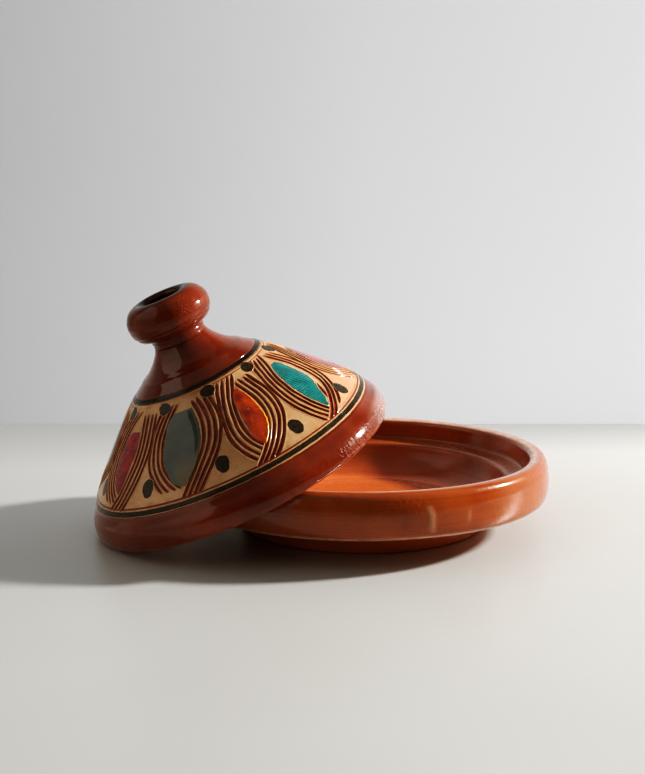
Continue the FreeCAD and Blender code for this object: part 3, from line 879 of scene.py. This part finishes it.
# almonds: left and right edge as (slant, x), from the lower tip to the upper end
ALMONDS = {
    "green": (
        [(10.6, 1.6), (12, -2), (20, -9.3), (30, -12.5), (40, -11.8), (50, -9), (60, -5.25),
         (64.9, -0.5)],
        [(10.6, 2.2), (14, 5), (20, 9.5), (30, 14.5), (40, 17), (50, 16.4), (60, 13.9),
         (64.9, 12.2)]),
    "orange": (
        [(15.9, -3.7), (20, -5.6), (24, -6.5), (30, -6), (40, -5), (50, -3.1), (55, -1.9),
         (62.9, 2.7)],
        [(15.9, -3.0), (20, 1.25), (25, 5), (30, 7.5), (40, 8.75), (50, 8.1), (60, 5),
         (62.9, 3.5)]),
    "red": (
        [(13.4, -0.3), (20, -7.3), (30, -11), (40, -10.4), (50, -6.6), (57.6, 0.4)],
        [(13.4, 0.7), (20, 4.6), (30, 7.1), (40, 10.5), (50, 11.5), (55, 10.4), (57.6, 9.4)]),
    "teal": (
        [(11.6, -6.4), (15, -7.5), (20, -7.9), (25, -9.4), (30, -9.1), (40, -8.25), (50, -5.4),
         (60, 0.25), (62, 2.8)],
        [(11.6, -5.5), (15, -2.9), (20, 1.5), (25, 4.6), (30, 8.4), (35, 11.5), (40, 12.1),
         (50, 10.6), (55, 9.6), (60, 7.75), (62, 5.4)]),
}

# black dots: (bearing in degrees, slant)
UPPER_DOTS = [(-151.4, 71), (-113.4, 71), (-78.8, 72.2), (-42.5, 73), (-6.3, 71.6), (29, 72),
              (64, 71.5), (99, 72.4), (134, 71.2), (169.5, 72)]
LOWER_DOTS = [(-121.6, 15.9), (-86.4, 15.75), (-52.7, 14.0), (-18.3, 12.6), (18, 14.5),
              (52, 15), (87, 14), (122, 15.5), (156.5, 14.8), (-158.5, 15.2)]
UPPER_DOT_SIZE, LOWER_DOT_SIZE = (5.05, 4.85), (5.3, 6.1)  # half width, half height
FAR = -3.0  # signed distance given where nothing is near


def groove_curves(lines):
    """Each groove as (curve x(slant), its lowest slant, its highest slant)."""
    curves = []
    for xs in lines:
        known = [(slant, x) for slant, x in zip(COMB_SLANTS, xs) if x is not None]
        curves.append((spline(known), known[-1][0], known[0][0]))
    return curves


COMB_CURVES = {kind: [(half, low, high, groove_curves(lines)) for half, low, high, lines in both]
               for kind, both in COMBS.items()}


def wobble(rng, slant, shortest, longest):
    return np.sin(math.tau * slant / rng.uniform(shortest, longest) + rng.uniform(0, 6.3))


def comb_grooves(index, kind, x, slant):
    """Signed distance into the two combs' grooves beside an almond, and their depth share."""
    combs = []
    for half, lowest, highest, lines in COMB_CURVES[kind]:
        xs = [curve(slant) for curve, _, _ in lines]
        tilts = [np.sqrt(1 + (curve(slant + 0.5) - curve(slant - 0.5)) ** 2)
                 for curve, _, _ in lines]
        strip = np.minimum(x - xs[0], xs[-1] - x) / tilts[1] + half + 0.35
        combs.append((half, lowest, highest, lines, xs, tilts, strip))
    groove, depth = np.full(x.shape, FAR), np.zeros(x.shape)
    for side, (half, lowest, highest, lines, xs, tilts, _) in enumerate(combs):
        rng = np.random.default_rng(100 + 10 * index + side)
        # where the combs cross, the first gives way low down and the second high up
        other_strip = combs[1 - side][-1]
        gives_way = slant > 50 if side else slant < 38
        allowed = 1 - gives_way * smooth(other_strip, -0.7, 0.1)
        for (_, line_low, line_high), line_x, tilt in zip(lines, xs, tilts):
            low = lowest if line_low <= 4 else max(lowest, line_low - 2.2)
            low += rng.uniform(-0.6, 0.6)
            high = highest if line_high >= 72 else min(highest, line_high + 2.0)
            high += rng.uniform(-0.9, 0.9)
            sway = 0.10 * wobble(rng, slant, 24, 44) + 0.03 * wobble(rng, slant, 9, 14)
            width = half * (1 + 0.07 * wobble(rng, slant, 15, 32) + rng.uniform(-0.07, 0.07))
            taper = smooth(slant, low - 0.6, low + 2.2) * (1 - smooth(slant, high - 4.5, high + 0.8))
            present = smooth(slant, low - 0.8, low + 0.5) * (1 - smooth(slant, high - 0.7, high + 0.8))
            width = width * (0.42 + 0.58 * taper) * allowed
            width = width - 1.8 * (1 - np.minimum(allowed, present))
            dist = width - np.abs(x - line_x - sway) / tilt
            better = dist > groove
            share = (0.35 + 0.65 * taper) * np.clip(width / half, 0, 1.1)
            groove, depth = np.where(better, dist, groove), np.where(better, share, depth)
    return groove, depth


def short_gouge(x, slant):
    """Signed distance into the gouge beside a teal almond's lower right edge."""
    (top_x, top), (foot_x, foot) = (9.2, 28.0), (1.5, 16.0)
    dx, dy = foot_x - top_x, foot - top
    t = np.clip(((x - top_x) * dx + (slant - top) * dy) / (dx ** 2 + dy ** 2), 0, 1)
    half = 1.25 * np.sin(np.pi * np.clip(t, 0.06, 0.94)) ** 0.6
    return half - np.hypot(x - top_x - t * dx, slant - top - t * dy)


def scored_lines(turn, slant, drift):
    """(signed distance, depth share) of the lines scored beside the black bands."""
    low = 0.60 + 0.06 * np.sin(9 * turn) - np.abs(slant - 2.95 - drift)
    under = 0.27 * smooth(waves(turn, 0, 52, 10, 7, 0.0), -0.9, -0.4)
    under = under - np.abs(slant - 77.75 - drift) - 0.5 * (under < 0.05)
    # a second line under that one, with a gap at the front left
    shown = smooth(np.abs(off_bearing(turn, 60)), math.radians(155), math.radians(138))
    second = 0.30 * shown - np.abs(slant - 75.6 - drift * 0.8) - 0.6 * (shown < 0.05)
    return (low, 0.60), (under, 0.35), (second, 0.40)


def dot_distance(index, turn, slant, radius):
    """Signed distance into one lumpy painted dot."""
    bearing, middle = (UPPER_DOTS + LOWER_DOTS)[index]
    size = UPPER_DOT_SIZE if index < len(UPPER_DOTS) else LOWER_DOT_SIZE
    rng = np.random.default_rng(300 + index)
    x, y = off_bearing(turn, bearing) * radius, slant - middle
    width, height = (half * rng.uniform(0.94, 1.05) for half in size)
    angle = np.arctan2(y, x)
    lump = 1
    for lobes, share in ((2, 0.05), (3, 0.035), (7, 0.02)):
        lump = lump + share * np.cos(lobes * angle + rng.uniform(0, 6))
    return (1 - np.hypot(x / width, y / height) / lump) * min(width, height)


def pattern(turn, slant):
    """Signed distances into groove, black and slip, and the groove's depth share."""
    radius = cone_radius(slant)
    groove, depth = np.full(turn.shape, FAR), np.zeros(turn.shape)
    for i, (bearing, kind) in enumerate(zip(ALMOND_BEARINGS, KINDS)):
        x = off_bearing(turn, bearing) * radius
        near = np.abs(x) < 44
        if not near.any():
            continue
        cut, cut_depth = comb_grooves(i, kind, x[near], slant[near])
        if kind == "teal":
            gouge = short_gouge(x[near], slant[near])
            cut_depth = np.where(gouge > cut, 0.8, cut_depth)
            cut = np.maximum(cut, gouge)
        deeper = cut > groove[near]
        depth[near] = np.where(deeper, cut_depth, depth[near])
        groove[near] = np.where(deeper, cut, groove[near])
    drift = 0.22 * waves(turn, 0, 51, 14, 9, 0.0)
    for line, share in scored_lines(turn, slant, drift):
        depth = np.where(line > groove, share, depth)
        groove = np.maximum(groove, line)
    low_band = np.minimum(slant + 2.35 - drift * 0.7, 1.25 + drift - slant)
    top_band = np.minimum(slant - 78.10 - drift, 81.90 + drift * 0.8 - slant)
    black = np.maximum(FAR, np.maximum(low_band, top_band))
    for i in range(len(UPPER_DOTS + LOWER_DOTS)):
        dot = dot_distance(i, turn, slant, radius)
        black = np.maximum(black, dot)
        groove = np.minimum(groove, -0.35 - dot)  # a dot covers whatever was carved there
    slip = np.minimum(slant + 3.45 - drift * 0.7, 78.9 + drift - slant)
    # the thin line of slip under the lower band wears out away from the front right
    worn = (0.7 * smooth(np.abs(off_bearing(turn, -28)), 0.55, 0.95)
            + 0.35 * smooth(waves(turn, 0, 53, 8, 9, 0.0), 0.1, 0.6))
    return groove, depth, black, np.where(slant < 0, slip - worn, slip)


def relief(turn, slant, groove, depth, black, slip):
    """Height above the cone's surface."""
    uncut = 1 - smooth(groove, -0.2, 0.1)
    height = -0.82 * depth * (1 - (1 - np.clip(groove / 0.95, 0, 1)) ** 2)
    height = height + 0.26 * bell(groove, -0.52, 0.42)  # burr beside a groove
    bare = (1 - smooth(slip, -0.35, 0.25)) * (1 - smooth(black, -0.2, 0.2))
    height = height - 0.13 * bare + 0.07 * smooth(black, -0.25, 0.25) * uncut
    height = height + 0.030 * waves(turn, slant, 61, 30, 60, 0.5) * uncut
    return height * np.minimum(smooth(slant, BAND_LOW, BAND_LOW + 0.7),
                               1 - smooth(slant, BAND_HIGH - 0.7, BAND_HIGH))


# ------------------------------------------------------------------ band panels

PANEL_COLS, PANEL_ROWS = ((200, 262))
PANEL_DEPTH = 1.05
# panels meet halfway between neighbouring almonds
round_lid = [ALMOND_BEARINGS[-1] - 360, *ALMOND_BEARINGS, ALMOND_BEARINGS[0] + 360]
PANEL_EDGES = [math.radians((a + b) / 2) for a, b in zip(round_lid, round_lid[1:])]


def grid_normals(grid):
    """Unit normals for the inside of a grid one ring wider than the piece."""
    normals = np.cross(grid[1:-1, 2:] - grid[1:-1, :-2], grid[2:, 1:-1] - grid[:-2, 1:-1])
    return normals / np.linalg.norm(normals, axis=-1, keepdims=True)


def band_panel(index):
    start, end = PANEL_EDGES[index:index + 2]
    turn, slant = np.meshgrid(
        start + (end - start) / PANEL_COLS * np.arange(-1, PANEL_COLS + 2),
        BAND_LOW + (BAND_HIGH - BAND_LOW) / PANEL_ROWS * np.arange(-1, PANEL_ROWS + 2))
    groove, depth, black, slip = pattern(turn, slant)
    grid = cone(turn, slant, relief(turn, slant, groove, depth, black, slip))
    back = cone(turn, slant, -PANEL_DEPTH)
    inside = (slice(1, -1), slice(1, -1))
    # bx is measured all the way round, so streaks run unbroken from panel to panel
    attrs = {"g": groove, "k": black, "c": slip, "bx": turn * cone_radius(40.0), "bv": slant,
             "seed": np.zeros(turn.shape), "z0": cone_z(slant), "s": slant + 40.0, "a": turn}
    attrs = {key: values[inside] for key, values in attrs.items()}
    return slab("BandPanel_%02d" % (index + 1), grid[inside], back[inside],
                grid_normals(grid), attrs, spans=6)


slip_material = band_slip()
BAND_NODES = ["slip_band", "lower_black_line", "upper_black_line", "black_dots"]
for i in range(len(KINDS)):
    dress(band_panel(i), slip_material, BAND_NODES, "lid")


# ------------------------------------------------------------------ enamel almonds

# dome: height of the middle; grow: how far the glass runs past the painted outline;
# ragged, ripple: unevenness of its edge and of its surface
ALMOND_FORM = {
    "teal": dict(dome=0.30, grow=0.95, ragged=0.22, ripple=0.035),
    "red": dict(dome=0.34, grow=0.60, ragged=0.14, ripple=0.085),
    "green": dict(dome=0.55, grow=0.55, ragged=0.14, ripple=0.0),
    "orange": dict(dome=0.60, grow=0.95, ragged=0.14, ripple=0.0),
}


def enamel_material(name, deep, main, light, edge, hatch, hatch_color, edge_width=1.15,
                    right_edge_only=False, bubbles=0.0, right_sheen=None, low=None, glint=None,
                    coat=1.0):
    """Pooled enamel: ex runs -1 to 1 across, ev is the slant, ed the mm in from the edge."""
    m = Material(name)
    across, slant, inward = m.attr("ex"), m.attr("ev"), m.attr("ed")
    pool = m.noise(95, detail=4, rough=0.6)
    color = pool.step(0.36, 0.66).mix(deep, main)
    color = m.patches(210, (0.55, 0.78), high=0.5).mix(color, light)
    lines = m.noise(1, vector=m.combine(across * 0.8, slant * 0.95, 0.0), distort=0.35)
    ruled = (slant * 4.4 + lines * 9.0).sine()
    hatching = ruled.step(0.15, 0.95) * m.patches(120, (0.34, 0.56), detail=2)
    color = (hatching * hatch).mix(color, hatch_color)
    if glint:  # painted glints: bright dabs in rows and columns, fewer low down
        rows = (slant * 5.2 + m.noise(60, detail=2) * 3.0).sine()
        columns = ((across * 9.0 + slant * 0.35) * 3.1 + m.noise(80, detail=2) * 2.5).sine()
        high_up = (slant + m.noise(70, detail=2) * 14.0).step(36, 50, low=0.35)
        painted_glints = (rows + columns * 0.45).step(0.35, 1.3) * high_up
        color = (painted_glints * 0.55).mix(color, glint)
    if low:  # another colour pools at the lower end
        low_end = (slant + (pool - 0.5) * 16.0).step(33, 22) * across.step(-0.75, -0.1)
        color = (low_end * 0.85).mix(color, low)
    if right_sheen:  # painted sheen over the right side
        right_side = (across + (pool - 0.5) * 1.2).step(0.1, 0.9)
        color = (right_side * 0.25).mix(color, right_sheen)
    jagged = inward + (m.noise(260, detail=2) - 0.5) * 0.9
    near_edge = jagged.step(0.45, edge_width + 0.35, 1, 0)
    if right_edge_only:
        near_edge = near_edge * (across * 1.0).step(0.2, 0.6) * slant.step(63, 48)
    color = (near_edge * 0.9).mix(color, edge)
    height = m.noise(90, detail=2) * 0.10 + hatching * (0.10 * hatch)
    if bubbles:
        domes = m.specks(330, size=0.24, patch_scale=85, edges=(0.5, 0.58))
        height = height + domes * bubbles
        color = (domes * 0.5).mix(color, light)
    return m.finish(Base_Color=color, Roughness=0.25, Specular_IOR_Level=0.12, Coat_Weight=coat,
                    Coat_Roughness=0.03, Coat_IOR=1.48, Normal=m.bump(height))


ENAMELS = {
    # the teal enamel has a painted sheen on its right side and painted glints
    "teal": enamel_material(
        "TealEnamel", deep=(0.0005, 0.105, 0.110), main=(0.001, 0.190, 0.180),
        light=(0.006, 0.275, 0.250), edge=(0.002, 0.070, 0.075), edge_width=0.8, hatch=0.55,
        hatch_color=(0.0005, 0.075, 0.085), right_sheen=(0.05, 0.25, 0.22), glint=(0.14, 0.50, 0.44)),
    "red": enamel_material(
        "RedEnamel", deep=(0.27, 0.012, 0.018), main=(0.48, 0.030, 0.044),
        light=(0.62, 0.10, 0.125), edge=(0.18, 0.03, 0.025), hatch=0.60,
        hatch_color=(0.075, 0.005, 0.007), coat=0.8),
    "green": enamel_material(
        "GreenEnamel", deep=(0.026, 0.042, 0.034), main=(0.044, 0.064, 0.054),
        light=(0.085, 0.090, 0.056), edge=(0.165, 0.135, 0.045), edge_width=1.7, hatch=0.15,
        hatch_color=(0.018, 0.022, 0.014), low=(0.120, 0.075, 0.022)),
    "orange": enamel_material(
        "OrangeEnamel", deep=(0.27, 0.018, 0.002), main=(0.60, 0.066, 0.003),
        light=(0.90, 0.20, 0.012), edge=(1.0, 0.40, 0.018), edge_width=1.5, hatch=0.0,
        hatch_color=(0.2, 0.02, 0.003), right_edge_only=True, bubbles=0.7),
}


def almond(index, kind, dome, grow, ragged, ripple):
    rows, cols = 132, 44
    left_edge, right_edge = ALMONDS[kind]
    low, high = left_edge[0][0], left_edge[-1][0]
    # rows crowd towards the tips, columns towards the edges
    crowded = (1 - np.cos(np.linspace(0, math.pi, rows + 1))) / 2
    drawn = low + (high - low) * (0.35 * crowded + 0.65 * np.linspace(0, 1, rows + 1))
    across = np.linspace(-1, 1, cols + 1)
    across = np.sign(across) * (1 - (1 - np.abs(across)) ** 1.25)
    phase = np.random.default_rng(500 + index).uniform(0, 6.3, 4)
    jag_left = np.sin(drawn * 1.1 + phase[0]) + 0.6 * np.sin(drawn * 2.3 + phase[1])
    jag_right = np.sin(drawn * 1.3 + phase[2]) + 0.6 * np.sin(drawn * 2.1 + phase[3])
    # stretch the rows and widen the edges, so that the glass runs a little under the slip
    slants = low - grow * 0.9 + (drawn - low) * (high - low + 1.8 * grow) / (high - low)
    low, high = slants[0], slants[-1]
    share = np.clip(np.minimum(slants - low, high - slants) / 5.0, 0, 1) ** 0.5
    widen = grow * (0.45 + 0.55 * share)
    left = spline(left_edge)(drawn) + ragged * jag_left - widen
    right = spline(right_edge)(drawn) + ragged * jag_right + widen
    right = np.maximum(right, left + 0.3)

    slant, across = np.meshgrid(slants, across, indexing="ij")
    middle, half = ((left + right) / 2)[:, None], ((right - left) / 2)[:, None]
    turn = math.radians(ALMOND_BEARINGS[index]) + (middle + half * across) / cone_radius(slant)
    to_end = np.minimum(slant - low, high - slant)
    inward = np.clip(np.minimum((1 - np.abs(across)) * half, to_end), 0, None)
    rise = 1 - np.exp(-inward / 0.55)
    height = -0.42 + (0.42 + dome * 0.55) * rise + dome * 0.45 * smooth(inward, 0, 7)
    height = height + 0.18 * bell(inward, 0.9, 0.8) * rise  # raised lip along the edge
    swirl = (0.6 * np.sin(slant * 2.1 + 1.3 * np.sin(across * 2 + phase[0]) + phase[1])
             + 0.4 * np.sin(slant * 4.3 + across * 1.5 + phase[2]))
    height = height + swirl * ripple * smooth(inward, 0.2, 1.4)
    height = height + 0.035 * waves(turn, slant, 70 + index, 20, 24, 0.05) * rise
    front, back = cone(turn, slant, height), cone(turn, slant, -0.95)
    normals = np.cross(np.gradient(front, axis=1), np.gradient(front, axis=0))
    normals = normals / np.maximum(np.linalg.norm(normals, axis=-1, keepdims=True), 1e-12)
    return slab("Enamel_%s_%02d" % (kind, index + 1), front, back, normals,
                {"ex": across, "ev": slant, "ed": inward}, spans=8)


for i, kind in enumerate(KINDS):
    dress(almond(i, kind, **ALMOND_FORM[kind]), ENAMELS[kind], ["enamel_" + kind],
          "lid")


# ------------------------------------------------------------------ stage, metres

FLOOR_HALF = 14
WALL_Y, WALL_LEFT, WALL_RIGHT, WALL_TOP = 0.384, -1.6, 1.2, 1.4


def floor_paint():
    m = Material("FloorPaint")
    color = m.patches(2.2, (0.3, 0.7)).mix((0.495, 0.489, 0.468), (0.525, 0.520, 0.502))
    # painted shade: the floor darkens towards the left, where less light reaches it
    color = m.axis("X").step(-0.05, -0.50, high=0.10).mix(color, (0.02, 0.02, 0.02))
    # towards the front the floor gives little light back, though it is still drawn
    spent = m.axis("Y").step(-0.28, -0.42) * m.diffuse_ray()
    return m.finish(
        Base_Color=(spent * 0.85).mix(color, (0.02, 0.02, 0.02)),
        Roughness=m.noise(14, detail=4).lerp(0.28, 0.40), Specular_IOR_Level=0.30,
        Normal=m.bump(m.noise(120), distance=0.0002, strength=0.5))


def wall_paint():
    m = Material("WallPaint")
    x, z = m.axis("X"), m.axis("Z")
    # the wall glows, brighter to the right and not high up; diffuse rays see it even
    rightward = (x.step(-0.40, 0.02, 0.295, 0.505, kind="LINEAR")
                 + x.step(0.02, 0.35, 0.0, 0.075, kind="LINEAR"))
    glow = rightward * z.step(0.80, 0.52) * x.step(-0.78, -0.42, low=0.35)
    glow = m.diffuse_ray().lerp(glow, 0.95)
    color = m.patches(3.0, (0.3, 0.7)).mix((0.40, 0.40, 0.41), (0.44, 0.44, 0.45))
    # painted shade: high up, the wall's own colour falls to near black as well
    m.finish(
        Base_Color=z.step(0.80, 0.52).mix((0.10, 0.10, 0.10), color), Roughness=0.8,
        Normal=m.bump(m.noise(30, detail=4), distance=0.001, strength=0.3),
        Emission_Color=(0.985, 0.985, 1.0), Emission_Strength=glow)
    # clear when seen from behind, so the back of the object can be looked at
    clear = m.node("ShaderNodeBsdfTransparent")
    behind = m.node("ShaderNodeNewGeometry", out="Backfacing")
    painted = Value(m, m.shader.outputs[0])
    m.put(m.output.inputs[0], m.node("ShaderNodeMixShader", {0: behind, 1: painted, 2: clear}))
    return m.material


def sheet(name, corners, material):
    mesh = bpy.data.meshes.new(name)
    mesh.from_pydata(corners, [], [tuple(range(len(corners)))])
    obj = add_object(name, mesh)
    mesh.materials.append(material)


sheet("Floor", [(x * FLOOR_HALF, y * FLOOR_HALF, 0)
                for x, y in ((-1, -1), (1, -1), (1, 1), (-1, 1))], floor_paint())
sheet("Backdrop", [(WALL_LEFT, WALL_Y, 0), (WALL_RIGHT, WALL_Y, 0),
                   (WALL_RIGHT, WALL_Y, WALL_TOP), (WALL_LEFT, WALL_Y, WALL_TOP)], wall_paint())


def key_light():
    """Small warm square light on the right, a little behind the object."""
    azimuth, elevation, distance = math.radians(10.0), math.radians(28.0), 2.8
    target = Vector((0, 0, 0.05))
    direction = Vector((math.cos(azimuth) * math.cos(elevation),
                        math.sin(azimuth) * math.cos(elevation), math.sin(elevation)))
    light = bpy.data.lights.new("Key", "AREA")
    light.shape, light.size, light.size_y = "RECTANGLE", 0.26, 0.26
    light.energy, light.color = 152.0, (1.0, 0.975, 0.93)
    lamp = add_object("Key", light)
    lamp.location = target + direction * distance
    aim = target - (target + direction * distance)
    lamp.rotation_euler = aim.to_track_quat("-Z", "Y").to_euler()
    lamp.visible_camera = False


def studio_world():
    """Dark room in front, bright opening on the left, bright to the right and behind."""
    world = bpy.data.worlds.new("Studio")
    bpy.context.scene.world = world
    world.use_nodes = True
    graph = Graph(world.node_tree)
    output = graph.tree.nodes.new("ShaderNodeOutputWorld")
    toward = graph.node("ShaderNodeTexCoord", out="Generated")
    x = graph.node("ShaderNodeSeparateXYZ", {0: toward})
    y, z = (Value(graph, socket) for socket in x.socket.node.outputs[1:])
    low_down = z.step(0.72, 0.60)
    left = ((x.step(-0.55, -0.60) * z.step(0.05, 0.40, 0.38, 0.86))
            * (z.step(0.775, 0.755) * y.step(-0.78, -0.75)))
    right = (x.step(0.30, 0.75, high=0.85) * y.step(-0.15, 0.10)) * low_down
    back = y.step(0.15, 0.6, high=0.50) * low_down
    above = z.step(0.35, 0.85, high=0.26)
    brightest = graph.math("MAXIMUM", graph.math("MAXIMUM", back, left), right)
    total = brightest + (above + 0.015)
    # the camera itself sees a plain pale backdrop
    camera_ray = graph.node("ShaderNodeLightPath", out="Is Camera Ray")
    strength = total * (1.0 - camera_ray) + camera_ray * 0.62
    background = graph.node("ShaderNodeBackground", {0: (1.0, 0.985, 0.965), 1: strength})
    graph.put(output.inputs[0], background)


def camera():
    data = bpy.data.cameras.new("Camera")
    data.lens, data.sensor_width = 60.4651163, 36.0
    data.clip_start, data.clip_end = 0.01, 30
    obj = add_object("Camera", data)
    obj.location = (-0.02970, -0.96265, 0.26080)
    tilt_down = 9.34
    obj.rotation_euler = (math.radians(90 - tilt_down), 0, 0)
    bpy.context.scene.camera = obj


# tone curve points (in, out) by curve: 3 is all channels, 1 green, 2 blue. The first deepens the
# shadows; in the others blue, and a little green, fall away sooner than red
TONE_CURVES = {
    3: ((0.015, 0.0075), (0.05, 0.030), (0.10, 0.074), (0.18, 0.172), (0.32, 0.350),
        (0.50, 0.545), (0.8, 0.825)),
    1: ((0.02, 0.0175), (0.05, 0.046), (0.10, 0.096), (0.20, 0.20)),
    2: ((0.02, 0.0135), (0.05, 0.038), (0.10, 0.086), (0.20, 0.194), (0.30, 0.30)),
}


def view_settings():
    view = bpy.context.scene.view_settings
    view.view_transform, view.look = "Standard", "None"
    view.exposure, view.gamma = 0.0, 1.0
    view.use_curve_mapping = True
    for channel, points in TONE_CURVES.items():
        for point in points:
            view.curve_mapping.curves[channel].points.new(*point)
    view.curve_mapping.update()


key_light()
studio_world()
camera()
view_settings()
